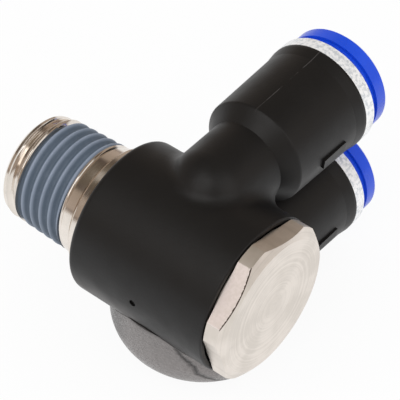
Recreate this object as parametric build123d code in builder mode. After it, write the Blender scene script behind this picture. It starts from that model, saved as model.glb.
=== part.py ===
"""Swivelling double elbow: a hollow bolt through a moulded ring, with two push-in tube ports side by side.

Sizes are millimetres. +X is the way the tubes leave, +Y the way the thread points, +Z up. The origin is on the
bolt's axis, in the outer face of the retaining ring, where the thread begins.
"""

import os
from math import cos, radians, sin, tan

from build123d import *

# Taper pipe thread, quarter inch, 19 turns an inch
thread_major = 13.157
thread_gauge_length = 6.0
thread_taper = 1 / 16
thread_length = 11.0
thread_pitch = 1.337
thread_depth = 0.7
thread_crest = 0.35
coat_relief = 0.55
tip_band = 1.15
tip_radius = 6.15
tip_chamfer = 0.35
root_groove_width = 0.45
root_groove_radius = 6.0
bare_turn_width = 1.15

# Tube and its clearances
tube_diameter = 8.0
tube_clearance = 0.1
running_clearance = 0.05
press_clearance = 0.02
free_clearance = 0.3

# Ring of the housing
ring_radius = 9.3
ring_length = 18.6
ring_thread_edge = 0.7
ring_head_edge = 0.2
bolt_bore_radius = 7.0
chamber_radius = 7.9
chamber_length = 8.6
head_recess_radius = 8.7
head_recess_depth = 0.9
bore_chamfer = 0.3

# Ports of the housing, measured along X from the bolt's axis
port_offset = 6.95
neck_radius = 4.9
neck_centre = 4.0
neck_root_fillet = 1.8
neck_end_x = 9.75
shoulder_x = 11.45
shoulder_radius = 6.42
shoulder_corner = 0.4
barrel_end_x = 22.9
barrel_end_radius = 6.68
rim_radius = 6.88
rim_width = 0.35
rim_slope = 1.3
flow_radius = 2.9
flow_start_x = 3.6
tube_stop_x = 13.2
seal_pocket_x = 15.2
seal_pocket_radius = 5.5
cartridge_x = 17.4
cartridge_radius = 5.75

# Size-mark pad on each barrel
pad_length = 4.0
pad_width = 1.2
pad_height = 0.15
pad_end_gap = 3.7
pad_angle = 5.0

# Foot under the ring
foot_radius = 10.45
foot_centre_x = 1.8
foot_centre_shift = -0.85
foot_end_x = 8.5
foot_inset = 0.25
foot_rounding = 5.5
foot_side_corner = 1.5
foot_root_z = -4.0

# Moulding gate on the back of the ring
gate_radius = 0.4
gate_depth = 0.25

# Bolt
head_flats = 17.0
head_sides = 6
head_turn = 16.0
head_corner_radius = 9.2
head_thickness = 2.3
head_gap = 0.2
head_chamfer_radius = 8.1
head_chamfer_angle = 30.0
flange_gap = 0.1
waist_radius = 5.3
land_chamfer = 0.5
bolt_bore = 3.6
bolt_bore_past_ports = 3.2
drill_point = 31.0
cross_hole_radius = 2.4
mouth_chamfer = 0.5

# Retaining ring
retainer_thickness = 1.5
retainer_gap = 0.1
retainer_radius = 7.55
retainer_neck_radius = 6.2
retainer_chamfer = 0.25

# O-rings of the bolt
o_ring_section = 1.3
groove_width = 1.7
groove_from_land_end = 1.1

# Collar of each port
collar_band = 1.75
collar_radius = 6.88
collar_inner_x = 19.0
collar_edge = 0.25
collar_mouth_radius = 6.25
collar_mouth_depth = 1.3

# Release ring of each port
release_travel = 0.8
release_stop_gap = 0.1
release_flange_radius = 6.5
release_flange_length = 2.0
release_sleeve_wall = 0.88
release_nose_x = 19.9
release_nose_chamfer = 0.35
release_entry = 0.8
release_edge = 0.45

# Grab ring of each port
claw_thickness = 0.25
claw_root_radius = 5.0
claw_tip_radius = 3.9
claw_lean = 0.92
claw_count = 16
claw_slot_width = 0.34
claw_slot_depth = 0.12

# Support ring and tube seal of each port
support_mouth_radius = 5.06
support_throat_radius = 4.3
seal_lip_radius = 3.95
seal_groove_depth = 0.9
seal_groove_width = 0.5

# Places that follow from the sizes
ring_thread_y = -(retainer_thickness + retainer_gap)
ring_head_y = ring_thread_y - ring_length
port_y = ring_thread_y - ring_length / 2
base_z = -(port_offset + rim_radius)
land_radius = bolt_bore_radius - running_clearance
head_base_y = ring_head_y - head_gap
head_face_y = head_base_y - head_thickness
flange_y = ring_head_y + head_recess_depth - flange_gap
flange_radius = head_recess_radius - free_clearance
chamber_head_y = port_y - chamber_length / 2
chamber_thread_y = port_y + chamber_length / 2
tube_radius = tube_diameter / 2 + tube_clearance
collar_end_x = barrel_end_x + collar_band
collar_bore_radius = tube_radius + release_sleeve_wall + running_clearance
port_heights = {"upper": port_offset, "lower": -port_offset}


def thread_radius(y):
    """Radius over the crests of the taper thread at a place along the bolt."""
    from_tip = thread_length - y
    return thread_major / 2 - (thread_gauge_length - from_tip) * thread_taper / 2


def turned_about_y(points):
    """Closed profile of (radius, y) points for a piece that is turned about the bolt's axis."""
    with BuildSketch(Plane.XY) as profile:
        with BuildLine():
            Polyline(*points, close=True)
        make_face()
    return profile.sketch


def port_plane(height):
    """Plane through a port's axis: its x runs along the port, and its y is the radius."""
    return Plane(origin=(0, port_y, height), x_dir=(1, 0, 0), z_dir=(0, 0, 1))


def port_axis(height):
    """Axis of the port at a height above the bolt's axis."""
    return Axis((0, port_y, height), (1, 0, 0))


def turned_about_port(height, points):
    """Closed profile of (x, radius) points for a piece that is turned about a port's axis."""
    with BuildSketch(port_plane(height)) as profile:
        with BuildLine():
            Polyline(*points, close=True)
        make_face()
    return profile.sketch


def neck_profile(height):
    """Outside of one neck, with its round end."""
    with BuildSketch(port_plane(height)) as profile:
        with BuildLine():
            CenterArc((neck_centre, 0), neck_radius, 90, 90)
            Polyline(
                (neck_centre, neck_radius),
                (shoulder_x, neck_radius),
                (shoulder_x, 0),
                (neck_centre - neck_radius, 0),
            )
        make_face()
    return profile.sketch


def barrel_profile(height):
    """Outside of one barrel, from the end of the neck to the open end."""
    rim_start = barrel_end_x - rim_width
    with BuildSketch(port_plane(height)) as profile:
        with BuildLine():
            Polyline(
                (neck_end_x, 0),
                (neck_end_x, neck_radius),
                (shoulder_x, shoulder_radius),
                (rim_start - rim_slope, barrel_end_radius),
                (rim_start, rim_radius),
                (barrel_end_x, rim_radius),
                (barrel_end_x, 0),
                close=True,
            )
        make_face()
        at_shoulder = profile.vertices().filter_by(lambda v: abs(v.X - shoulder_x) < 0.01)
        fillet(at_shoulder, shoulder_corner)
    return profile.sketch


def is_neck_root(edge):
    """Whether an edge is where a neck leaves the ring."""
    middle = edge.position_at(0.5)
    on_ring = abs((middle.X**2 + middle.Z**2) ** 0.5 - ring_radius) < 0.01
    inside = abs(middle.Y - port_y) < neck_radius + 0.5 and abs(middle.Z) > 0.5
    return on_ring and inside and edge.geom_type not in (GeomType.LINE, GeomType.CIRCLE)


# Foot: a round cushion under the ring, trimmed to the ring's length
with BuildPart() as foot:
    with BuildSketch(Plane.XZ.offset(-(port_y + foot_centre_shift))):
        with BuildLine():
            foot_axis = Line((foot_centre_x, foot_root_z), (foot_centre_x, base_z))
            foot_base = Line(foot_axis @ 1, (foot_centre_x + foot_radius - foot_rounding, base_z))
            foot_round = TangentArc(
                foot_base @ 1, (foot_centre_x + foot_radius, base_z + foot_rounding), tangent=(1, 0)
            )
            foot_wall = Line(foot_round @ 1, (foot_centre_x + foot_radius, foot_root_z))
            Line(foot_wall @ 1, foot_axis @ 0)
        make_face()
    revolve(axis=Axis((foot_centre_x, port_y + foot_centre_shift, 0), (0, 0, 1)))
    with BuildSketch(Plane.XY.offset(base_z)) as foot_trim:
        with Locations((foot_end_x, port_y)):
            Rectangle(
                foot_end_x - foot_centre_x + foot_radius,
                ring_length - 2 * foot_inset,
                align=(Align.MAX, Align.CENTER),
            )
        fillet(foot_trim.vertices(), foot_side_corner)
    extrude(amount=foot_root_z - base_z, mode=Mode.INTERSECT)


# Housing: ring, foot, necks and barrels in one moulding
with BuildPart() as housing:
    with BuildSketch(Plane.XZ.offset(-ring_thread_y)):
        Circle(ring_radius)
    extrude(amount=ring_length)
    fillet(housing.edges().sort_by(Axis.Y)[-1], ring_thread_edge)
    fillet(housing.edges().sort_by(Axis.Y)[0], ring_head_edge)

    for height in port_heights.values():
        add(neck_profile(height))
        revolve(axis=port_axis(height))
    fillet(housing.edges().filter_by(is_neck_root), neck_root_fillet)
    add(foot.part)

    for height in port_heights.values():
        add(barrel_profile(height))
        revolve(axis=port_axis(height))
        pad_plane = Plane(
            origin=(barrel_end_x - pad_end_gap - pad_length / 2, port_y, height),
            x_dir=(1, 0, 0),
            z_dir=(0, -cos(radians(pad_angle)), -sin(radians(pad_angle))),
        )
        with BuildSketch(pad_plane.offset(barrel_end_radius + pad_height)):
            Rectangle(pad_length, pad_width)
        extrude(amount=-(barrel_end_radius + pad_height - cartridge_radius) / 2)

    for height in port_heights.values():
        add(
            turned_about_port(
                height,
                [
                    (flow_start_x, 0),
                    (flow_start_x, flow_radius),
                    (tube_stop_x, flow_radius),
                    (tube_stop_x, tube_radius),
                    (seal_pocket_x, tube_radius),
                    (seal_pocket_x, seal_pocket_radius),
                    (cartridge_x, seal_pocket_radius),
                    (cartridge_x, cartridge_radius),
                    (barrel_end_x, cartridge_radius),
                    (barrel_end_x, 0),
                ],
            )
        )
        revolve(axis=port_axis(height), mode=Mode.SUBTRACT)

    add(
        turned_about_y(
            [
                (0, ring_head_y),
                (head_recess_radius, ring_head_y),
                (head_recess_radius, ring_head_y + head_recess_depth),
                (bolt_bore_radius, ring_head_y + head_recess_depth),
                (bolt_bore_radius, chamber_head_y),
                (chamber_radius, chamber_head_y),
                (chamber_radius, chamber_thread_y),
                (bolt_bore_radius, chamber_thread_y),
                (bolt_bore_radius, ring_thread_y - bore_chamfer),
                (bolt_bore_radius + bore_chamfer, ring_thread_y),
                (0, ring_thread_y),
            ]
        )
    )
    revolve(axis=Axis.Y, mode=Mode.SUBTRACT)

    with BuildSketch(Plane.YZ.offset(-ring_radius)):
        with Locations((port_y, 0)):
            Circle(gate_radius)
    extrude(amount=gate_depth, mode=Mode.SUBTRACT)


# Banjo bolt: one turned piece with its head milled to flats
land_end_y = ring_thread_y + retainer_gap
groove_radius = land_radius - o_ring_section
head_groove_y = chamber_head_y - groove_from_land_end - groove_width
thread_groove_y = chamber_thread_y + groove_from_land_end
bare_turn_y = root_groove_width + bare_turn_width
tip_band_y = thread_length - tip_band

with BuildPart() as banjo_bolt:
    add(
        turned_about_y(
            [
                (0, head_base_y),
                (flange_radius, head_base_y),
                (flange_radius, flange_y),
                (land_radius, flange_y),
                (land_radius, head_groove_y),
                (groove_radius, head_groove_y),
                (groove_radius, head_groove_y + groove_width),
                (land_radius, head_groove_y + groove_width),
                (land_radius, chamber_head_y),
                (waist_radius, chamber_head_y + land_chamfer),
                (waist_radius, chamber_thread_y - land_chamfer),
                (land_radius, chamber_thread_y),
                (land_radius, thread_groove_y),
                (groove_radius, thread_groove_y),
                (groove_radius, thread_groove_y + groove_width),
                (land_radius, thread_groove_y + groove_width),
                (land_radius, land_end_y),
                (retainer_neck_radius, land_end_y),
                (retainer_neck_radius, 0),
                (root_groove_radius, 0),
                (root_groove_radius, root_groove_width),
                (thread_radius(root_groove_width), root_groove_width),
                (thread_radius(bare_turn_y), bare_turn_y),
                (thread_radius(bare_turn_y) - thread_depth, bare_turn_y),
                (thread_radius(tip_band_y) - thread_depth, tip_band_y),
                (tip_radius, tip_band_y),
                (tip_radius, thread_length - tip_chamfer),
                (tip_radius - tip_chamfer, thread_length),
                (0, thread_length),
            ]
        )
    )
    revolve(axis=Axis.Y)

    with BuildSketch(Plane.XZ.offset(-head_base_y)):
        RegularPolygon(
            radius=head_flats / 2,
            side_count=head_sides,
            major_radius=False,
            rotation=head_turn + 180 / head_sides,
        )
        Circle(head_corner_radius, mode=Mode.INTERSECT)
    extrude(amount=head_thickness)
    crown_drop = (head_flats - head_chamfer_radius) * tan(radians(head_chamfer_angle))
    add(
        turned_about_y(
            [
                (head_chamfer_radius, head_face_y),
                (head_flats, head_face_y),
                (head_flats, head_face_y + crown_drop),
            ]
        )
    )
    revolve(axis=Axis.Y, mode=Mode.SUBTRACT)

    bore_end_y = port_y - bolt_bore_past_ports
    add(
        turned_about_y(
            [
                (0, bore_end_y - bolt_bore * tan(radians(drill_point))),
                (bolt_bore, bore_end_y),
                (bolt_bore, thread_length - mouth_chamfer),
                (bolt_bore + mouth_chamfer, thread_length),
                (0, thread_length),
            ]
        )
    )
    revolve(axis=Axis.Y, mode=Mode.SUBTRACT)

    for plane, place in ((Plane.XY, (0, port_y)), (Plane.YZ, (port_y, 0))):
        with BuildSketch(plane):
            with Locations(place):
                Circle(cross_hole_radius)
        extrude(amount=land_radius, both=True, mode=Mode.SUBTRACT)


# Sealant: a coat over the turns between the bare turn and the tip band
coat_length = tip_band_y - bare_turn_y
coat_turns = int(coat_length / thread_pitch)
coat_step = coat_length / coat_turns
coat_outline = []
for turn in range(coat_turns):
    turn_start = bare_turn_y + turn * coat_step
    coat_outline.append((thread_radius(turn_start) - coat_relief, turn_start))
    coat_outline.append((thread_radius(turn_start), turn_start + coat_step / 2 - thread_crest / 2))
    coat_outline.append((thread_radius(turn_start), turn_start + coat_step / 2 + thread_crest / 2))
coat_outline.append((thread_radius(tip_band_y) - coat_relief, tip_band_y))

with BuildPart() as thread_sealant:
    add(
        turned_about_y(
            [
                (thread_radius(bare_turn_y) - thread_depth, bare_turn_y),
                *coat_outline,
                (thread_radius(tip_band_y) - thread_depth, tip_band_y),
            ]
        )
    )
    revolve(axis=Axis.Y)

# Retaining ring in the neck between the ring and the thread
with BuildPart() as retaining_ring:
    add(
        turned_about_y(
            [
                (retainer_neck_radius, -retainer_thickness),
                (retainer_radius, -retainer_thickness),
                (retainer_radius, -retainer_chamfer),
                (retainer_radius - retainer_chamfer, 0),
                (retainer_neck_radius, 0),
            ]
        )
    )
    revolve(axis=Axis.Y)


def o_ring_section_at(y):
    """Round section of an O-ring that lies in the middle of a groove of the bolt."""
    with BuildSketch(Plane.XY) as profile:
        with Locations((land_radius - o_ring_section / 2, y + groove_width / 2)):
            Circle(o_ring_section / 2)
    return profile.sketch


with BuildPart() as head_o_ring:
    add(o_ring_section_at(head_groove_y))
    revolve(axis=Axis.Y)

with BuildPart() as thread_o_ring:
    add(o_ring_section_at(thread_groove_y))
    revolve(axis=Axis.Y)

pieces = {
    "housing": housing,
    "banjo_bolt": banjo_bolt,
    "thread_sealant": thread_sealant,
    "retaining_ring": retaining_ring,
    "head_o_ring": head_o_ring,
    "thread_o_ring": thread_o_ring,
}

# The same five pieces fill each port
sleeve_radius = tube_radius + release_sleeve_wall
mouth_floor_x = collar_end_x - collar_mouth_depth
neck_x = mouth_floor_x + release_travel + release_stop_gap
flange_x = collar_end_x + release_travel + release_stop_gap
release_end_x = flange_x + release_flange_length
press_radius = cartridge_radius - press_clearance
claw_x = collar_inner_x - press_clearance - claw_thickness
claw_tip_x = claw_x - claw_lean
support_x = cartridge_x + press_clearance
seal_radius = seal_pocket_radius - press_clearance

for side, height in port_heights.items():
    with BuildPart() as collar:
        add(
            turned_about_port(
                height,
                [
                    (collar_inner_x, collar_bore_radius),
                    (collar_inner_x, press_radius),
                    (barrel_end_x, press_radius),
                    (barrel_end_x, collar_radius),
                    (collar_end_x - collar_edge, collar_radius),
                    (collar_end_x, collar_radius - collar_edge),
                    (collar_end_x, collar_mouth_radius),
                    (mouth_floor_x, collar_mouth_radius),
                    (mouth_floor_x, collar_bore_radius),
                ],
            )
        )
        revolve(axis=port_axis(height))
    pieces[f"{side}_collar"] = collar

    with BuildPart() as release_ring:
        add(
            turned_about_port(
                height,
                [
                    (release_nose_x, tube_radius),
                    (release_nose_x, sleeve_radius - release_nose_chamfer),
                    (release_nose_x + release_nose_chamfer, sleeve_radius),
                    (neck_x, sleeve_radius),
                    (neck_x, collar_mouth_radius - 2 * running_clearance),
                    (flange_x, collar_mouth_radius - 2 * running_clearance),
                    (flange_x, release_flange_radius),
                    (release_end_x - release_edge, release_flange_radius),
                    (release_end_x, release_flange_radius - release_edge),
                    (release_end_x, tube_radius + release_entry),
                    (release_end_x - release_entry, tube_radius),
                ],
            )
        )
        revolve(axis=port_axis(height))
    pieces[f"{side}_release_ring"] = release_ring

    with BuildPart() as grab_ring:
        add(
            turned_about_port(
                height,
                [
                    (claw_x, press_radius),
                    (claw_x + claw_thickness, press_radius),
                    (claw_x + claw_thickness, claw_root_radius),
                    (claw_tip_x + claw_thickness, claw_tip_radius),
                    (claw_tip_x, claw_tip_radius),
                    (claw_x, claw_root_radius),
                ],
            )
        )
        revolve(axis=port_axis(height))
        slot_plane = Plane(origin=(claw_tip_x, port_y, height), x_dir=(0, 1, 0), z_dir=(1, 0, 0))
        with BuildSketch(slot_plane):
            with PolarLocations(claw_root_radius + claw_slot_depth, claw_count):
                Rectangle(
                    claw_root_radius + claw_slot_depth - claw_tip_radius + claw_slot_width,
                    claw_slot_width,
                    align=(Align.MAX, Align.CENTER),
                )
        extrude(amount=claw_x + claw_thickness - claw_tip_x, mode=Mode.SUBTRACT)
    pieces[f"{side}_grab_ring"] = grab_ring

    with BuildPart() as support_ring:
        add(
            turned_about_port(
                height,
                [
                    (support_x, support_throat_radius),
                    (support_x, press_radius),
                    (claw_x - press_clearance, press_radius),
                    (claw_x - press_clearance, support_mouth_radius),
                ],
            )
        )
        revolve(axis=port_axis(height))
    pieces[f"{side}_support_ring"] = support_ring

    with BuildPart() as tube_seal:
        seal_start_x = seal_pocket_x + press_clearance
        seal_end_x = cartridge_x - press_clearance
        seal_middle = (seal_lip_radius + seal_radius) / 2
        add(
            turned_about_port(
                height,
                [
                    (seal_start_x, seal_lip_radius + seal_groove_width / 2),
                    (seal_start_x, seal_middle - seal_groove_width / 2),
                    (seal_start_x + seal_groove_depth, seal_middle),
                    (seal_start_x, seal_middle + seal_groove_width / 2),
                    (seal_start_x, seal_radius),
                    (seal_end_x, seal_radius),
                    (seal_end_x, seal_lip_radius + seal_groove_width),
                    (seal_start_x + seal_groove_depth, seal_lip_radius),
                ],
            )
        )
        revolve(axis=port_axis(height))
    pieces[f"{side}_tube_seal"] = tube_seal

os.makedirs("parts", exist_ok=True)
for name, piece in pieces.items():
    piece.part.label = name
    export_step(piece.part, f"parts/{name}.step")
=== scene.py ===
# %% [markdown]
# # A swivelling push-in double elbow
#
# This lesson dresses a small pneumatic fitting. The metal bolt swivels in a black moulded ring, two barrels
# take plastic tubes, and a blue ring at each mouth lets a tube go again. The solid parts come from the CAD
# model, in metres and in their real places. Here they get their finishes, and the bolt gets the screw
# thread that the CAD leaves plain.

from math import cos, pi, radians, sin, tan

import bmesh
import bpy
from mathutils import Matrix, Vector


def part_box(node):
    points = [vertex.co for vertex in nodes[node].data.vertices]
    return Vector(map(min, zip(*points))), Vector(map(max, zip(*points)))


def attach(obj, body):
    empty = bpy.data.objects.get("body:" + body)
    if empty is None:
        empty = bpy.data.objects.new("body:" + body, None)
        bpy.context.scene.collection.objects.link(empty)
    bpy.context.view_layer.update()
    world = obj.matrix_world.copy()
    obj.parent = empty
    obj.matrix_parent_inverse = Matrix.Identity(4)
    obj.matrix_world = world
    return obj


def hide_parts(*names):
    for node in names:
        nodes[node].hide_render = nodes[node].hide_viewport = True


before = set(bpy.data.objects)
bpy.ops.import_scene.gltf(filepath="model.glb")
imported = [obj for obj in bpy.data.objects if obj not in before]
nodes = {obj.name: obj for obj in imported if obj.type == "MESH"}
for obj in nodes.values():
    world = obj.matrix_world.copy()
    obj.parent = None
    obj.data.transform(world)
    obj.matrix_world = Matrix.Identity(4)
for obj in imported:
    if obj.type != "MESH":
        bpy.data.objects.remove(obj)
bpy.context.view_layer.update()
scene = bpy.context.scene
scene.view_settings.view_transform = "Standard"
print("CAD nodes:", ", ".join(sorted(nodes)))

# %% [markdown]
# ## Sizes used again and again
#
# The sizes come from a photo, scaled by taking the thread for a quarter inch pipe thread. A few of them
# steer the finishes too: where the ports lie along the bolt, where the head ends and the thread starts.
# They could be written down again, but reading them from the boxes of the CAD nodes keeps the picture and
# the model in step.

# %% Places read from the CAD nodes
MM = 0.001

collar_low, collar_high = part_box("upper_collar")
port_y = (collar_low[1] + collar_high[1]) / 2
head_face_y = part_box("banjo_bolt")[0][1]
head_end_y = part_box("housing")[0][1]
thread_tip_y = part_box("banjo_bolt")[1][1]
ring_radius = -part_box("housing")[0][0]
floor_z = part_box("housing")[0][2]
print("ports at y", round(port_y, 5), "ring radius", round(ring_radius, 5), "floor", round(floor_z, 5))

# %% [markdown]
# ## Helpers for modelling by hand in code
#
# Every operator works on what is selected, and loading the frame leaves the CAD nodes selected. So each
# step first drops the selection and picks one object. Modifiers are applied as soon as they are set, so
# each finished piece is a plain mesh whose place is stored in its own points.

# %% Selection and modifier helpers
def pick(piece):
    """Makes one object the only selected and active one."""
    bpy.ops.object.select_all(action="DESELECT")
    piece.select_set(True)
    bpy.context.view_layer.objects.active = piece


def settle(piece):
    """Stores an object's place, turn and size in its mesh."""
    pick(piece)
    bpy.ops.object.transform_apply(location=True, rotation=True, scale=True)


def use_modifier(piece, kind, **settings):
    """Adds a modifier with its settings and applies it at once."""
    pick(piece)
    modifier = piece.modifiers.new(kind.title(), kind)
    for key, value in settings.items():
        setattr(modifier, key, value)
    bpy.ops.object.modifier_apply(modifier=modifier.name)


def smooth(piece, degrees):
    """Shades smoothly wherever faces meet at less than an angle."""
    pick(piece)
    bpy.ops.object.shade_smooth_by_angle(angle=radians(degrees))


print("helpers ready")

# %% [markdown]
# ### Which side is out
#
# Blender's own operator makes the faces of a mesh agree with each other, but on a thin sleeve it can settle
# on the wrong side. The volume tells: counted with its sign, it comes out below zero when the faces look
# inwards.

# %% Facing outwards
def signed_volume(piece):
    """Volume inside a mesh in edit mode, below zero when its faces point inwards."""
    return bmesh.from_edit_mesh(piece.data).calc_volume(signed=True)


def merge_and_face_out(piece, distance=0.002 * MM):
    """Merges doubled points and turns every face outwards."""
    pick(piece)
    bpy.ops.object.mode_set(mode="EDIT")
    bpy.ops.mesh.select_all(action="SELECT")
    bpy.ops.mesh.remove_doubles(threshold=distance)
    bpy.ops.mesh.normals_make_consistent(inside=False)
    if signed_volume(piece) < 0:
        bpy.ops.mesh.flip_normals()
    bpy.ops.object.mode_set(mode="OBJECT")


print("mesh helpers ready")

# %% [markdown]
# ## The thread
#
# On the real bolt a cutter runs along a helix, and the top of each turn is rounded by the coat of sealant.
# Rings side by side would be quicker, but their ends would show that nothing winds. A profile of one turn,
# swept along the axis by the Screw modifier, follows the true path. The taper of the pipe thread is then a
# small change of every point's distance from the axis, one part in thirty-two.

# %% Thread numbers
PITCH = 1.337 * MM
TAPER = 1 / 32
CREST_AT_GAUGE = 6.5785 * MM
GAUGE_FROM_TIP = 6.0 * MM
THREAD_STEPS = 72
THREAD_PHASE = radians(174)


def crest_radius(y):
    """Radius over the crests at a place along the bolt."""
    return CREST_AT_GAUGE + (thread_tip_y - GAUGE_FROM_TIP - y) * TAPER


def radius_at(point):
    """Distance of a point from the bolt's axis."""
    return Vector((point.co.x, 0, point.co.z)).length


def set_radius(point, radius):
    """Moves a point to a distance from the bolt's axis."""
    scale = radius / radius_at(point)
    point.co.x *= scale
    point.co.z *= scale


print("crest radius at the tip", round(crest_radius(thread_tip_y), 5))

# %% [markdown]
# ### The shape of one turn
#
# A cut thread has a flat crest and a flat root. The coat that dries on it flows into the corners, so its
# turns look like soft waves. Four points on each flank are enough for that: they say how far along the
# flank a point is, and how much of the depth is still missing there.

# %% Profile of one turn
FLANK_POINTS = [(0.0, 1.0), (0.3, 0.74), (0.75, 0.2), (1.0, 0.05)]


def turn_profile(depth, crest_share, root_share):
    """(along, below crest) points of one turn from root to root."""
    root = root_share / 2
    flank = (1 - crest_share - root_share) / 2
    stops = [(0.0, depth)]
    stops += [(root + flank * along, depth * below) for along, below in FLANK_POINTS]
    stops += [(0.5, 0.0)]
    rising = [(share * PITCH, below) for share, below in stops]
    falling = [(PITCH - along, below) for along, below in reversed(rising[:-1])]
    return rising + falling


coated_profile = turn_profile(depth=0.62 * MM, crest_share=0.1, root_share=0.2)
print("profile points", len(coated_profile))

# %% [markdown]
# ### Winding the turns
#
# A single point is extruded into a line of points, which are then laid on the profile. The Screw modifier
# winds that line around the bolt. Its turns run on past both ends, to be cut off straight afterwards.

# %% The line that is wound
TURNS_BEFORE = 1.5
TURNS_TO_SPARE = 4


def profile_line(name, profile, first):
    """A line of points with the shape of one turn, starting at a place along the bolt."""
    bpy.ops.object.select_all(action="DESELECT")
    bpy.ops.mesh.primitive_plane_add(size=1 * MM)
    line = bpy.context.object
    line.name = name
    bpy.ops.object.mode_set(mode="EDIT")
    bpy.ops.mesh.select_mode(type="VERT")
    bpy.ops.mesh.select_all(action="SELECT")
    bpy.ops.mesh.merge(type="CENTER")
    for number in range(len(profile) - 1):
        bpy.ops.mesh.extrude_vertices_move(TRANSFORM_OT_translate={"value": (1 * MM, 0, 0)})
    bpy.ops.object.mode_set(mode="OBJECT")
    ordered = sorted(line.data.vertices, key=lambda point: point.co.x)
    for point, (along, below) in zip(ordered, profile):
        point.co = Vector((CREST_AT_GAUGE - below, first + along, 0))
    settle(line)
    return line


print("a line of", len(coated_profile), "points makes one turn")


# %% A helical skin
def helix(name, profile, start_y, end_y):
    """Open helical skin of the tapered thread, longer than it needs to be at both ends."""
    skin = profile_line(name, profile, start_y - TURNS_BEFORE * PITCH)
    use_modifier(
        skin,
        "SCREW",
        axis="Y",
        angle=2 * pi,
        screw_offset=PITCH,
        iterations=int((end_y - start_y) / PITCH) + TURNS_TO_SPARE,
        steps=THREAD_STEPS,
        render_steps=THREAD_STEPS,
        use_merge_vertices=False,
    )
    merge_and_face_out(skin)
    skin.data.transform(Matrix.Rotation(THREAD_PHASE, 4, "Y"))
    for point in skin.data.vertices:
        set_radius(point, radius_at(point) - CREST_AT_GAUGE + crest_radius(point.co.y))
    return skin


print("ready to wind")

# %% [markdown]
# ### Cutting the thread to length
#
# Two straight cuts leave the run-out that a real thread has at a shoulder: a turn that fades where the
# plane crosses it. Each cut is closed with a flat face, and the middle of that face is taken out again,
# because the bolt itself is there. Bridging the two inner rims makes one closed sleeve.

# %% Cutting a helical skin
IN_PLANE = 0.001 * MM


def cut_off(skin, y, outward):
    """Cuts a skin across the bolt at y, drops what is beyond it and closes the cut."""
    pick(skin)
    bpy.ops.object.mode_set(mode="EDIT")
    bpy.ops.mesh.select_all(action="SELECT")
    bpy.ops.mesh.bisect(
        plane_co=(0, y, 0),
        plane_no=(0, outward, 0),
        clear_outer=True,
        use_fill=True,
        threshold=0.0001 * MM,
    )
    bpy.ops.object.mode_set(mode="OBJECT")


def caps_at(skin, y):
    """Numbers of the faces that lie flat in the plane at y."""
    points = skin.data.vertices
    faces = skin.data.polygons
    return [face.index for face in faces if all(abs(points[i].co.y - y) < IN_PLANE for i in face.vertices)]


print("caps are found within", IN_PLANE, "m")


# %% Closing it to a sleeve
def edit_faces(skin, numbers):
    """Opens edit mode with only the faces of these numbers selected."""
    pick(skin)
    bpy.ops.object.mode_set(mode="EDIT")
    bpy.ops.mesh.select_mode(type="FACE")
    bpy.ops.mesh.select_all(action="DESELECT")
    bpy.ops.object.mode_set(mode="OBJECT")
    for number in numbers:
        skin.data.polygons[number].select = True
    bpy.ops.object.mode_set(mode="EDIT")


def hollow_sleeve(skin, start_y, end_y, wall):
    """Turns a closed threaded rod into a sleeve with a wall, by insetting and bridging its ends."""
    faces = skin.data.polygons
    for y in (start_y, end_y):
        edit_faces(skin, [max(caps_at(skin, y), key=lambda number: faces[number].area)])
        bpy.ops.mesh.inset(thickness=wall)
        bpy.ops.object.mode_set(mode="OBJECT")
    middles = [
        max(caps_at(skin, y), key=lambda number: len(faces[number].vertices)) for y in (start_y, end_y)
    ]
    edit_faces(skin, middles)
    bpy.ops.mesh.bridge_edge_loops()
    bpy.ops.object.mode_set(mode="OBJECT")


print("ready to hollow")


# %% From a profile to a finished sleeve
def keep_point(point):
    """Leaves a point of the skin where it is."""


def threaded_sleeve(name, profile, start_y, end_y, wall, smooth_below, shape_point=keep_point):
    """A closed threaded sleeve between two planes, with a rule that may move each point of its skin."""
    skin = helix(name, profile, start_y, end_y)
    for point in skin.data.vertices:
        shape_point(point)
    cut_off(skin, start_y, -1)
    cut_off(skin, end_y, 1)
    hollow_sleeve(skin, start_y, end_y, wall)
    merge_and_face_out(skin)
    smooth(skin, smooth_below)
    return skin


print("ready to make sleeves")

# %% [markdown]
# ### The sealed turns
#
# The coat is a soft layer that somebody brushed on the middle of the thread. The CAD shows it with plain
# rings; here it gets its true helix and stands for that node.

# %% Sealed turns, riding on the bolt
COAT_START_Y = 2.25 * MM
COAT_END_Y = 8.6 * MM
COAT_WALL = 0.9 * MM
sealed_turns = threaded_sleeve("sealed_turns", coated_profile, COAT_START_Y, COAT_END_Y, COAT_WALL, 50)
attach(sealed_turns, "bolt")
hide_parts("thread_sealant")
print("sealed turns:", len(sealed_turns.data.polygons), "faces")

# %% [markdown]
# ### Bare turns at both ends
#
# The coat stops short of both ends of the thread, so the metal's own turns show there: sharper than the
# coated ones, and fading out, towards the shoulder because the cutter was drawn back, and towards the tip
# because of the chamfer. They come from the same helix, at the same phase, so that the line of the thread
# runs on from coat to metal. Limiting each point's distance from the axis by its place along the bolt makes
# the fade.

# %% How the bare turns fade
ROOT_START_Y = 0.45 * MM
TIP_TURN_END_Y = 10.3 * MM
SHOULDER_RADIUS = 6.28 * MM
FULL_TURN_Y = 1.75 * MM
FADE_LENGTH = 0.55 * MM
SHOULDER_FILL = 0.85
CHAMFER_FROM_Y = 9.95 * MM
CHAMFER_SLOPE = 0.6


def fade_to_shoulder(point):
    """Fills the valleys of the last turns before the shoulder."""
    share = min(1, max(0, (FULL_TURN_Y - point.co.y) / FADE_LENGTH))
    radius = radius_at(point)
    set_radius(point, radius + (SHOULDER_RADIUS - radius) * share * SHOULDER_FILL)


def fade_to_tip(point):
    """Takes the crest down where the chamfer of the tip begins."""
    limit = crest_radius(point.co.y) - CHAMFER_SLOPE * max(0, point.co.y - CHAMFER_FROM_Y)
    set_radius(point, min(radius_at(point), limit))


print("turns end at", round(ROOT_START_Y, 5), "and", round(TIP_TURN_END_Y, 5))

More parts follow.
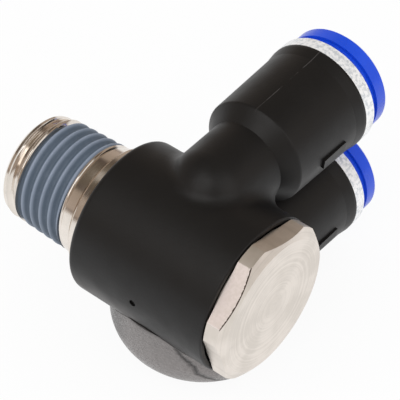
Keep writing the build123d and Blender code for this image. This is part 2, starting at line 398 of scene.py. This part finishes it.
# %% Bare turns, riding on the bolt
BARE_WALL = 0.5 * MM
bare_profile = turn_profile(depth=0.58 * MM, crest_share=0.14, root_share=0.2)


def bare_turns(name, start_y, end_y, fade):
    """A closed sleeve of bare metal turns that fade at one end."""
    skin = threaded_sleeve(name, bare_profile, start_y, end_y, BARE_WALL, 40, fade)
    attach(skin, "bolt")
    return skin


bare_root_turn = bare_turns("bare_root_turn", ROOT_START_Y, COAT_START_Y, fade_to_shoulder)
bare_tip_turn = bare_turns("bare_tip_turn", COAT_END_Y, TIP_TURN_END_Y, fade_to_tip)
print("bare turns:", len(bare_root_turn.data.polygons) + len(bare_tip_turn.data.polygons), "faces")

# %% [markdown]
# ## Finishes
#
# Seven materials cover the fitting. Each one is a Principled shader whose plain values sit on its own
# sockets, and only what changes over the surface comes from nodes: a fine moulded grain, the marks of the
# lathe, small smudges. Those effects are node groups, so that several materials can share them with their
# own numbers.

# %% Group helper
FLOAT = "NodeSocketFloat"
VECTOR = "NodeSocketVector"


def new_group(name, inputs, outputs):
    """A shader node group with named sockets, and its two end nodes."""
    group = bpy.data.node_groups.new(name, "ShaderNodeTree")
    for socket_name, kind, value in inputs:
        socket = group.interface.new_socket(socket_name, in_out="INPUT", socket_type=kind)
        if value is not None:
            socket.default_value = value
    for socket_name, kind in outputs:
        group.interface.new_socket(socket_name, in_out="OUTPUT", socket_type=kind)
    start = group.nodes.new("NodeGroupInput")
    end = group.nodes.new("NodeGroupOutput")
    return group, start, end


print("group helper ready")

# %% [markdown]
# ### Moulded grain
#
# A mould is never polished like a mirror, and its skin is printed on every part. Noise of one size gives
# such a grain. The group puts out the bare height, for bending the light, and a mask with more contrast,
# for colour and gloss.

# %% Moulded grain
def build_grain():
    """Height and mask of an even grain."""
    inputs = [("Vector", VECTOR, None), ("Scale", FLOAT, 3000.0), ("Detail", FLOAT, 2.0)]
    group, start, end = new_group("moulded_grain", inputs, [("Height", FLOAT), ("Mask", FLOAT)])
    noise = group.nodes.new("ShaderNodeTexNoise")
    spread = group.nodes.new("ShaderNodeMapRange")
    spread.inputs["From Min"].default_value = 0.3
    spread.inputs["From Max"].default_value = 0.7
    group.links.new(start.outputs["Vector"], noise.inputs["Vector"])
    group.links.new(start.outputs["Scale"], noise.inputs["Scale"])
    group.links.new(start.outputs["Detail"], noise.inputs["Detail"])
    group.links.new(noise.outputs["Fac"], spread.inputs["Value"])
    group.links.new(noise.outputs["Fac"], end.inputs["Height"])
    group.links.new(spread.outputs["Result"], end.inputs["Mask"])
    return group


grain_group = build_grain()
print("group:", grain_group.name)

# %% [markdown]
# ### Marks of the lathe
#
# The flat end of the head was faced on a lathe, which leaves fine rings around the bolt's axis. Their
# height depends only on the distance from that axis, so a one-dimensional noise along the radius makes
# them, uneven as real ones. The distance itself is put out too, because several masks need it.

# %% Turned rings around the bolt's axis
def build_rings():
    """Height that depends on the distance from the Y axis, and that distance."""
    inputs = [("Vector", VECTOR, None), ("Scale", FLOAT, 9000.0), ("Unevenness", FLOAT, 0.7)]
    group, start, end = new_group("turned_rings", inputs, [("Height", FLOAT), ("Radius", FLOAT)])
    flatten = group.nodes.new("ShaderNodeVectorMath")
    flatten.operation = "MULTIPLY"
    flatten.inputs[1].default_value = (1, 0, 1)
    length = group.nodes.new("ShaderNodeVectorMath")
    length.operation = "LENGTH"
    stretch = group.nodes.new("ShaderNodeMath")
    stretch.operation = "MULTIPLY"
    noise = group.nodes.new("ShaderNodeTexNoise")
    noise.noise_dimensions = "1D"
    noise.inputs["Scale"].default_value = 1.0
    noise.inputs["Detail"].default_value = 2.0
    group.links.new(start.outputs["Vector"], flatten.inputs[0])
    group.links.new(flatten.outputs["Vector"], length.inputs[0])
    group.links.new(length.outputs["Value"], stretch.inputs[0])
    group.links.new(start.outputs["Scale"], stretch.inputs[1])
    group.links.new(stretch.outputs["Value"], noise.inputs["W"])
    group.links.new(start.outputs["Unevenness"], noise.inputs["Roughness"])
    group.links.new(noise.outputs["Fac"], end.inputs["Height"])
    group.links.new(length.outputs["Value"], end.inputs["Radius"])
    return group


rings_group = build_rings()
print("group:", rings_group.name)

# %% [markdown]
# ### Building a material in a few lines
#
# Drawing nodes by hand is easy in the editor and long in code. A node's socket knows the tree that it
# belongs to, so small helpers can take sockets or numbers alike, add the node that is needed, and hand back
# its output. A material then reads like a sum.

# %% A material and what feeds it
def new_material(name, **values):
    """A Principled material with plain values on its sockets, and its shader."""
    material = bpy.data.materials.new(name)
    material.use_nodes = True
    shader = material.node_tree.nodes["Principled BSDF"]
    for key, value in values.items():
        shader.inputs[key.replace("_", " ")].default_value = value
    return material, shader


def feed(shader, socket_name, value):
    """Links a value that changes over the surface to one of the shader's sockets."""
    shader.id_data.links.new(value, shader.inputs[socket_name])


print("new materials are Principled shaders")


# %% Groups, places and bumps
def place_group(shader, group, **values):
    """Places a shared group beside a shader with its own numbers, on Object coordinates."""
    tree = shader.id_data
    node = tree.nodes.new("ShaderNodeGroup")
    node.node_tree = group
    place = tree.nodes.new("ShaderNodeTexCoord")
    tree.links.new(place.outputs["Object"], node.inputs["Vector"])
    for key, value in values.items():
        node.inputs[key].default_value = value
    return node


def places(shader):
    """The X, Y and Z of the surface in the object's own frame."""
    tree = shader.id_data
    place = tree.nodes.new("ShaderNodeTexCoord")
    parts = tree.nodes.new("ShaderNodeSeparateXYZ")
    tree.links.new(place.outputs["Object"], parts.inputs["Vector"])
    return parts.outputs["X"], parts.outputs["Y"], parts.outputs["Z"]


def bump(shader, height, distance, strength):
    """Bends the shader's normal by a height."""
    node = shader.id_data.nodes.new("ShaderNodeBump")
    node.inputs["Distance"].default_value = distance
    node.inputs["Strength"].default_value = strength
    node.id_data.links.new(height, node.inputs["Height"])
    feed(shader, "Normal", node.outputs["Normal"])


print("material helpers ready")


# %% Sums
def calc(operation, first, second=0.0, clamp=False):
    """A Math node on two values, each a number or another node's output."""
    linked = [value for value in (first, second) if isinstance(value, bpy.types.NodeSocket)]
    tree = linked[0].id_data
    node = tree.nodes.new("ShaderNodeMath")
    node.operation = operation
    node.use_clamp = clamp
    for socket, value in zip(node.inputs, (first, second)):
        if value in linked:
            tree.links.new(value, socket)
        else:
            socket.default_value = value
    return node.outputs["Value"]


def plus(first, second, clamp=False):
    """The sum of two values."""
    return calc("ADD", first, second, clamp)


def minus(first, second, clamp=False):
    """The first value less the second."""
    return calc("SUBTRACT", first, second, clamp)


def times(first, second):
    """The product of two values."""
    return calc("MULTIPLY", first, second)


def larger(first, second):
    """The larger of two values."""
    return calc("MAXIMUM", first, second)


print("sums ready")


# %% Ramps and tints
def ramp(value, low, high, to_low=0.0, to_high=1.0):
    """A clamped value that goes from to_low to to_high as another goes from low to high."""
    tree = value.id_data
    node = tree.nodes.new("ShaderNodeMapRange")
    node.inputs["From Min"].default_value = low
    node.inputs["From Max"].default_value = high
    node.inputs["To Min"].default_value = to_low
    node.inputs["To Max"].default_value = to_high
    tree.links.new(value, node.inputs["Value"])
    return node.outputs["Result"]


def tint(mask, under, over):
    """A colour between two, chosen by a mask. The first may be another node's output."""
    tree = mask.id_data
    node = tree.nodes.new("ShaderNodeMix")
    node.data_type = "RGBA"
    node.inputs["B"].default_value = (*over, 1)
    if isinstance(under, tuple):
        node.inputs["A"].default_value = (*under, 1)
    else:
        tree.links.new(under, node.inputs["A"])
    tree.links.new(mask, node.inputs["Factor"])
    return node.outputs["Result"]


print("ramps and tints ready")

# %% [markdown]
# ### Black moulded resin
#
# The body is a black resin with a dull, slightly uneven skin. One noise would look like sand or like fog,
# so three sizes share the work: a fine grain for the light, broad smears for the gloss, and a leathery one
# for the foot only. The foot under the ring has a rougher mould skin, which catches the light of the table
# and looks pale; that pale sheen is painted into its colour. A mask finds it: outside the ring's radius,
# below its middle, and short of where the necks begin.

# %% The resin's noises, and where the foot is
FOOT_TOP_Z = -3.0 * MM
FOOT_SKIN_Z = -4.5 * MM
NECK_START_X = 8.3 * MM

black_resin, shader = new_material("black_resin", IOR=1.5, Specular_IOR_Level=0.36)
across, along, up = places(shader)
grain = place_group(shader, grain_group, Scale=4200.0, Detail=3.0)
smears = place_group(shader, grain_group, Scale=420.0, Detail=5.0)
leather = place_group(shader, grain_group, Scale=3000.0, Detail=4.0)
axis = place_group(shader, rings_group)

outside_ring = ramp(axis.outputs["Radius"], ring_radius + 0.02 * MM, ring_radius + 0.1 * MM)
on_foot = times(outside_ring, ramp(up, FOOT_TOP_Z, FOOT_SKIN_Z))
on_foot = times(on_foot, ramp(across, NECK_START_X + 0.3 * MM, NECK_START_X))
print("foot below", round(FOOT_TOP_Z, 5))

# %% [markdown]
# Two lines are drawn by their distance from a plane. The crease is a fold of the foot's skin: a slanting
# plane, made to wander by the smears. The seam is where the mould's halves met, along the middle of the
# ports; it shows only on the barrels, and the smears wipe parts of it away. Cutting either into the mesh
# would need far finer faces.

# %% The foot's crease and the mould's seam
CREASE_SLOPE = 0.63
CREASE_Y = -12.5 * MM
CREASE_WANDER = 1.6 * MM
CREASE_HALF_WIDTH = 0.42 * MM
SEAM_HALF_WIDTH = 0.06 * MM
SEAM_CORE = 0.02 * MM

off_crease = minus(minus(along, CREASE_Y), times(up, CREASE_SLOPE))
wander = times(minus(smears.outputs["Height"], 0.5), CREASE_WANDER)
off_crease = calc("ABSOLUTE", plus(off_crease, wander))
crease = times(ramp(off_crease, CREASE_HALF_WIDTH, 0.0), on_foot)

on_barrel = larger(ramp(across, 11.0 * MM, 12.0 * MM), ramp(up, -6.0 * MM, -7.0 * MM))
off_seam = calc("ABSOLUTE", minus(along, port_y))
unworn = ramp(smears.outputs["Height"], 0.47, 0.56)
seam = times(times(ramp(off_seam, SEAM_HALF_WIDTH, SEAM_CORE), unworn), on_barrel)
print("seam at y", round(port_y, 5))

# %% The resin's relief and gloss
relief = times(grain.outputs["Height"], 0.1)
relief = minus(relief, times(crease, 1.5))
relief = plus(relief, times(seam, 0.35))
relief = plus(relief, times(times(leather.outputs["Height"], on_foot), 1.6))
bump(shader, relief, distance=0.16 * MM, strength=0.7)

rough = ramp(smears.outputs["Mask"], 0.0, 1.0, 0.4, 0.5)
feed(shader, "Roughness", minus(rough, times(on_foot, 0.18)))
print("relief and gloss set")

# %% [markdown]
# The foot's colour carries a painted sheen, the table's light reflected on it: strongest low down, weaker
# near the ring, and fading towards the thread. A weaker painted sheen lies on the lower half of the ring at
# the thread's side, and painted shade keeps the crease dark.

# %% The resin's colour
RESIN_BLACK = (0.006, 0.0055, 0.0055)
# Pale grey of the painted sheen; the seam takes a little of it too.
RESIN_SHEEN_AND_SEAM_GREY = (0.26, 0.24, 0.235)

# Painted sheen of the table's light on the foot, strongest low down.
painted_sheen = times(on_foot, ramp(leather.outputs["Height"], 0.3, 0.6, 0.8, 1.0))
painted_sheen = times(painted_sheen, ramp(up, -4.0 * MM, -9.0 * MM, 0.8, 1.0))
painted_sheen = times(painted_sheen, ramp(along, -6.5 * MM, -9.5 * MM, 0.35, 1.0))
# A weaker painted sheen on the lower half of the ring.
low_ring_sheen = times(ramp(up, -0.8 * MM, -4.5 * MM), ramp(along, -12.5 * MM, -9.5 * MM))
painted_sheen = larger(painted_sheen, times(low_ring_sheen, 0.28))
# Painted shade darkens the crease.
painted_sheen = times(painted_sheen, minus(1.0, times(crease, 0.85)))
# The seam takes a little of the same pale grey.
shade = plus(times(seam, 0.22), painted_sheen, clamp=True)
feed(shader, "Base Color", tint(shade, RESIN_BLACK, RESIN_SHEEN_AND_SEAM_GREY))
print("material:", black_resin.name)

# %% [markdown]
# ### Blue resin
#
# The release rings are dyed through, with a smoother skin than the body, because fingers push them. So the
# grain is faint, and only broad smears change the blue and its gloss a little.

# %% Blue resin of the release rings
blue_resin, shader = new_material("blue_resin", IOR=1.5)
grain = place_group(shader, grain_group, Scale=3600.0, Detail=2.0)
smears = place_group(shader, grain_group, Scale=260.0, Detail=3.0)
feed(shader, "Base Color", tint(smears.outputs["Mask"], (0.005, 0.066, 0.66), (0.007, 0.078, 0.74)))
feed(shader, "Roughness", ramp(smears.outputs["Mask"], 0.0, 1.0, 0.26, 0.36))
bump(shader, grain.outputs["Height"], distance=0.02 * MM, strength=0.4)
print("material:", blue_resin.name)

# %% [markdown]
# ### Nickel plate on brass
#
# The plate is thin, so the warm brass tints it. The faced head scatters light in a satin way, while the
# thread end is smooth and mirrors its dark and bright surroundings. Two materials would need a border
# between them, so one holds both: a ramp along the bolt changes the roughness, and the lathe rings only
# count where the head's face is.

# %% The plate's noises, and where the head's face is
EDGE = 0.05 * MM
ROUGH_HEAD = 0.36
ROUGH_THREAD = 0.1

nickel, shader = new_material("nickel_plate", Metallic=1.0)
across, along, up = places(shader)
rings = place_group(shader, rings_group, Scale=2600.0, Unevenness=0.75)
fine_rings = place_group(shader, rings_group, Scale=11000.0, Unevenness=0.9)
smudge = place_group(shader, grain_group, Scale=330.0, Detail=4.0)
fine = place_group(shader, grain_group, Scale=2600.0, Detail=5.0)
on_face = ramp(along, head_face_y + 0.02 * MM, head_face_y + 0.06 * MM, 1.0, 0.0)
print("head's face at y", round(head_face_y, 5))

# %% [markdown]
# One of the six flats faces the light. It is milled and a little rougher, and a painted highlight makes it
# sparkle where the rest is satin. A dark burr line runs along its edge, where it meets the turned cone of
# the crown. The flat is picked out by the distance of its plane from the axis, and the line by the distance
# from that cone.

# %% The lit flat, its painted highlight and its burr
FLAT_TURN = radians(136)
HALF_FLATS = 8.5 * MM
CROWN_RADIUS = 8.1 * MM
CROWN_SLOPE = tan(radians(30))
BURR_WAVER = 0.25 * MM

depth_in = plus(times(across, cos(FLAT_TURN)), times(up, sin(FLAT_TURN)))
on_flat = ramp(depth_in, HALF_FLATS - 0.05 * MM, HALF_FLATS - 0.02 * MM)
crown_depth = times(minus(rings.outputs["Radius"], CROWN_RADIUS), CROWN_SLOPE)
behind_crown = minus(minus(along, head_face_y), crown_depth)
waver = times(minus(fine.outputs["Height"], 0.5), BURR_WAVER)
at_edge = ramp(plus(behind_crown, waver), 0.1 * MM, 0.04 * MM)
burr = times(at_edge, ramp(depth_in, HALF_FLATS - 0.09 * MM, HALF_FLATS - 0.05 * MM))
lit_flat = minus(on_flat, burr, clamp=True)
# Painted highlight on the flat that faces the light.
flat_highlight = times(lit_flat, ramp(fine.outputs["Height"], 0.4, 0.6, 0.75, 1.0))
print("flat turned by 136 degrees")

# %% The plate's gloss, relief and colour
rough = ramp(along, head_end_y - EDGE, head_end_y + EDGE, ROUGH_HEAD, ROUGH_THREAD)
rough = plus(rough, times(smudge.outputs["Mask"], 0.1))
feed(shader, "Roughness", plus(rough, times(lit_flat, 0.12)))

turned = times(rings.outputs["Height"], on_face)
turned = plus(turned, times(fine_rings.outputs["Height"], on_face))
relief = plus(turned, times(fine.outputs["Height"], 0.35))
bump(shader, relief, distance=0.012 * MM, strength=0.5)

cloud = plus(times(rings.outputs["Height"], 0.35), times(smudge.outputs["Height"], 0.65))
plate = tint(ramp(cloud, 0.4, 0.6), (0.70, 0.645, 0.585), (0.84, 0.78, 0.72))
# The painted highlight of the lit flat goes into the plate's colour.
plate = tint(flat_highlight, plate, (0.97, 0.90, 0.88))
plate = tint(burr, plate, (0.06, 0.04, 0.03))
feed(shader, "Base Color", plate)
print("material:", nickel.name)

# %% [markdown]
# ### Bright plate of the collars
#
# The thin metal collars carry a bright, spotted plate that looks almost white on the table. A full metal
# would mirror the dark side of the room and turn grey, so the metal share is kept low, and small dents and
# dull spots break it up.

# %% Bright plate
bright_plate, shader = new_material("bright_plate", Metallic=0.3)
dents = place_group(shader, grain_group, Scale=1500.0, Detail=3.0)
spots = place_group(shader, grain_group, Scale=2400.0, Detail=5.0)
mottle = ramp(spots.outputs["Height"], 0.36, 0.56)
feed(shader, "Base Color", tint(mottle, (0.68, 0.71, 0.74), (1.0, 1.0, 1.0)))
feed(shader, "Roughness", ramp(spots.outputs["Mask"], 0.0, 1.0, 0.28, 0.53))
bump(shader, dents.outputs["Height"], distance=0.05 * MM, strength=0.6)
print("material:", bright_plate.name)

# %% [markdown]
# ### Dried sealant
#
# The coat is a matt blue-grey paste. Its crests get a paler blue-grey, a painted highlight, and its valleys
# a darker one, a painted shade. The taper is taken out of the distance from the axis, so that one number
# tells crest from valley all along the thread.

# %% Dried sealant
CREST_BAND = 0.3 * MM
CREST_CORE = 0.02 * MM
# Painted shade of the valleys and painted highlight of the crests.
SEALANT_VALLEY_SHADE = (0.10, 0.133, 0.178)
SEALANT_CREST_HIGHLIGHT = (0.255, 0.30, 0.38)

sealant, shader = new_material("dried_sealant", Roughness=0.55, IOR=1.45)
across, along, up = places(shader)
axis = place_group(shader, rings_group)
patches = place_group(shader, grain_group, Scale=500.0, Detail=4.0)
grain = place_group(shader, grain_group, Scale=1500.0, Detail=3.0)
untapered = plus(axis.outputs["Radius"], times(along, TAPER))
# Painted highlight on the crests.
crest_highlight = ramp(untapered, crest_radius(0) - CREST_BAND, crest_radius(0) - CREST_CORE)
uneven = times(minus(patches.outputs["Height"], 0.5), 0.5)
feed(shader, "Base Color", tint(plus(crest_highlight, uneven, clamp=True), SEALANT_VALLEY_SHADE, SEALANT_CREST_HIGHLIGHT))
bump(shader, grain.outputs["Height"], distance=0.08 * MM, strength=0.5)
print("material:", sealant.name)

# %% [markdown]
# ### Spring steel and rubber
#
# Claws and seals are only seen deep in the mouths. Rolled spring steel has a fine broken gloss, and seal
# rubber is nearly black with a dull skin, so the same grain group serves both with other numbers.

# %% Spring steel and seal rubber
def grained(name, scale, colours, gloss, depth, **values):
    """A material whose colour, gloss and relief follow one fine grain."""
    material, shader = new_material(name, **values)
    grain = place_group(shader, grain_group, Scale=scale, Detail=3.0)
    feed(shader, "Base Color", tint(grain.outputs["Mask"], *colours))
    feed(shader, "Roughness", ramp(grain.outputs["Mask"], 0.0, 1.0, *gloss))
    bump(shader, grain.outputs["Height"], depth, strength=0.5)
    return material


STEEL_GREYS = ((0.52, 0.51, 0.49), (0.66, 0.65, 0.63))
RUBBER_GREYS = ((0.014, 0.014, 0.014), (0.03, 0.029, 0.028))
spring_steel = grained("spring_steel", 5000.0, STEEL_GREYS, (0.22, 0.4), 0.01 * MM, Metallic=1.0)
seal_rubber = grained("seal_rubber", 3200.0, RUBBER_GREYS, (0.55, 0.75), 0.03 * MM)
print("materials:", spring_steel.name, seal_rubber.name)

# %% [markdown]
# ### Dressing the nodes
#
# A CAD node keeps its mesh, and only the material in its slots is exchanged. The two ports are alike, so a
# loop dresses both.

# %% Each CAD node gets its finish
def dress(node, material):
    """Puts one material on all of a CAD node."""
    slots = nodes[node].material_slots
    for slot in slots:
        slot.material = material
    if not slots:
        nodes[node].data.materials.append(material)


dress("housing", black_resin)
dress("banjo_bolt", nickel)
dress("retaining_ring", nickel)
dress("head_o_ring", seal_rubber)
dress("thread_o_ring", seal_rubber)
for side in ("upper", "lower"):
    dress(f"{side}_collar", bright_plate)
    dress(f"{side}_release_ring", blue_resin)
    dress(f"{side}_grab_ring", spring_steel)
    dress(f"{side}_support_ring", blue_resin)
    dress(f"{side}_tube_seal", seal_rubber)
for piece, finish in ((sealed_turns, sealant), (bare_root_turn, nickel), (bare_tip_turn, nickel)):
    piece.data.materials.clear()
    piece.data.materials.append(finish)
print("dressed", len(nodes), "nodes and 3 pieces of the thread")

# %% [markdown]
# ## The table, the light and the camera
#
# A product picture on white needs a floor that the camera sees as white while the object still throws its
# soft shadow on it. More lamps would burn out the pale metal. Light Path tells camera and mirror rays from
# the rays that carry light, so the white is only seen and never adds light to the object.

# %% Floor
FLOOR_SIZE = 2.0
WHITE_SHARE = 0.93


def seen_only(path):
    """1 for camera, mirror and glass rays, 0 for the rays that carry light."""
    seen = larger(path.outputs["Is Camera Ray"], path.outputs["Is Glossy Ray"])
    return larger(seen, path.outputs["Is Transmission Ray"])


bpy.ops.object.select_all(action="DESELECT")
bpy.ops.mesh.primitive_plane_add(size=FLOOR_SIZE, location=(0, 0, floor_z - 0.01 * MM))
floor = bpy.context.object
floor.name = "floor"
paper, shader = new_material(
    "white_paper", Base_Color=(0.9, 0.9, 0.9, 1), Roughness=0.8, Specular_IOR_Level=0.0
)
floor.data.materials.append(paper)
print("floor at", round(floor_z, 5))

# %% The floor's white
tree = shader.id_data
glow = tree.nodes.new("ShaderNodeEmission")
glow.inputs["Color"].default_value = (1, 1, 1, 1)
glow.inputs["Strength"].default_value = 1.0
path = tree.nodes.new("ShaderNodeLightPath")
blend = tree.nodes.new("ShaderNodeMixShader")
tree.links.new(times(seen_only(path), WHITE_SHARE), blend.inputs["Fac"])
tree.links.new(shader.outputs["BSDF"], blend.inputs[1])
tree.links.new(glow.outputs["Emission"], blend.inputs[2])
tree.links.new(blend.outputs["Shader"], tree.nodes["Material Output"].inputs["Surface"])
print("floor is white to the camera")

# %% [markdown]
# ### The room around the table
#
# Plated metal shows what stands around it, and in an all-white room it would look like paper. So the world
# has three faces: white for the camera, an even grey-white that carries the light, and for mirrors a warm
# room whose brightness changes with height, with one bright line like a row of ceiling lamps.

# %% World
SKY_STRENGTH = 0.75
ROOM = [
    (0.0, (0.75, 0.70, 0.66)),
    (0.09, (0.22, 0.17, 0.14)),
    (0.16, (0.46, 0.38, 0.32)),
    (0.60, (0.38, 0.31, 0.25)),
    (0.68, (0.10, 0.075, 0.06)),
    (0.87, (0.15, 0.12, 0.085)),
    (0.895, (0.95, 0.90, 0.84)),
    (0.925, (0.20, 0.16, 0.11)),
]

world = bpy.data.worlds.new("studio")
scene.world = world
world.use_nodes = True
tree = world.node_tree
sky = tree.nodes["Background"]
sky.inputs["Color"].default_value = (1, 1, 1, 1)
sky.inputs["Strength"].default_value = SKY_STRENGTH
white = tree.nodes.new("ShaderNodeBackground")
white.inputs["Color"].default_value = (1, 1, 1, 1)
white.inputs["Strength"].default_value = 1.0
print("world:", world.name)

# %% What mirrors see
direction = tree.nodes.new("ShaderNodeTexCoord")
parts = tree.nodes.new("ShaderNodeSeparateXYZ")
room = tree.nodes.new("ShaderNodeValToRGB")
mirrored = tree.nodes.new("ShaderNodeBackground")
while len(room.color_ramp.elements) < len(ROOM):
    room.color_ramp.elements.new(1.0)
for stop, (height, colour) in zip(room.color_ramp.elements, ROOM):
    stop.position = height
    stop.color = (*colour, 1)
tree.links.new(direction.outputs["Generated"], parts.inputs["Vector"])
tree.links.new(parts.outputs["Z"], room.inputs["Fac"])
tree.links.new(room.outputs["Color"], mirrored.inputs["Color"])
print("room stops:", len(room.color_ramp.elements))

# %% Which ray sees which face of the world
path = tree.nodes.new("ShaderNodeLightPath")
for_mirrors = tree.nodes.new("ShaderNodeMixShader")
for_camera = tree.nodes.new("ShaderNodeMixShader")
tree.links.new(seen_only(path), for_mirrors.inputs["Fac"])
tree.links.new(sky.outputs["Background"], for_mirrors.inputs[1])
tree.links.new(mirrored.outputs["Background"], for_mirrors.inputs[2])
tree.links.new(path.outputs["Is Camera Ray"], for_camera.inputs["Fac"])
tree.links.new(for_mirrors.outputs["Shader"], for_camera.inputs[1])
tree.links.new(white.outputs["Background"], for_camera.inputs[2])
tree.links.new(for_camera.outputs["Shader"], tree.nodes["World Output"].inputs["Surface"])
print("world joined")

# %% [markdown]
# ### Two soft lamps
#
# Two wide boxes stand behind the camera's left and right shoulder. They are placed so that the bolt and the
# barrels mirror neither of them to the camera, because a lamp's reflection on the plate or on the black
# resin would hide it.

# %% Lamps
AIM = (0.006, -0.008, 0.0)


def softbox(name, place, size, watts):
    """A square area lamp at a place, turned to face the fitting."""
    bpy.ops.object.light_add(type="AREA", location=place)
    lamp = bpy.context.object
    lamp.name = name
    lamp.data.size = size
    lamp.data.energy = watts
    lamp.rotation_euler = (Vector(AIM) - Vector(place)).to_track_quat("-Z", "Y").to_euler()
    return lamp


key_box = softbox("key_box", (-0.22, 0.0, 0.28), 0.26, 0.35)
side_box = softbox("side_box", (0.02, -0.28, 0.24), 0.32, 0.25)
print("lamps:", key_box.name, side_box.name)

# %% [markdown]
# ### The camera
#
# The photo was taken from above the head's side, fairly close, so the barrels shrink a little with
# distance. The place, the direction and the focal length were worked out from the ellipses that the round
# edges draw in the photo.

# %% Camera
EYE = Vector((-108.3994, -96.65, 150.0436)) * MM
FORWARD = Vector((0.551524, 0.428548, -0.715659)).normalized()
UP = Vector((0.549069, 0.459366, 0.698216)).normalized()
RIGHT = FORWARD.cross(UP).normalized()
FOCAL_PIXELS = 1874.1
FRAME_PIXELS = 400
SENSOR_WIDTH = 36.0
NEAR_CLIP = 0.01

bpy.ops.object.camera_add(location=EYE)
camera = bpy.context.object
camera.name = "camera"
turn = Matrix((RIGHT, UP, -FORWARD)).transposed()
camera.matrix_world = Matrix.Translation(EYE) @ turn.to_4x4()
camera.data.sensor_width = SENSOR_WIDTH
camera.data.lens = FOCAL_PIXELS * SENSOR_WIDTH / FRAME_PIXELS
camera.data.clip_start = NEAR_CLIP
scene.camera = camera
print("lens", round(camera.data.lens, 1), "mm")
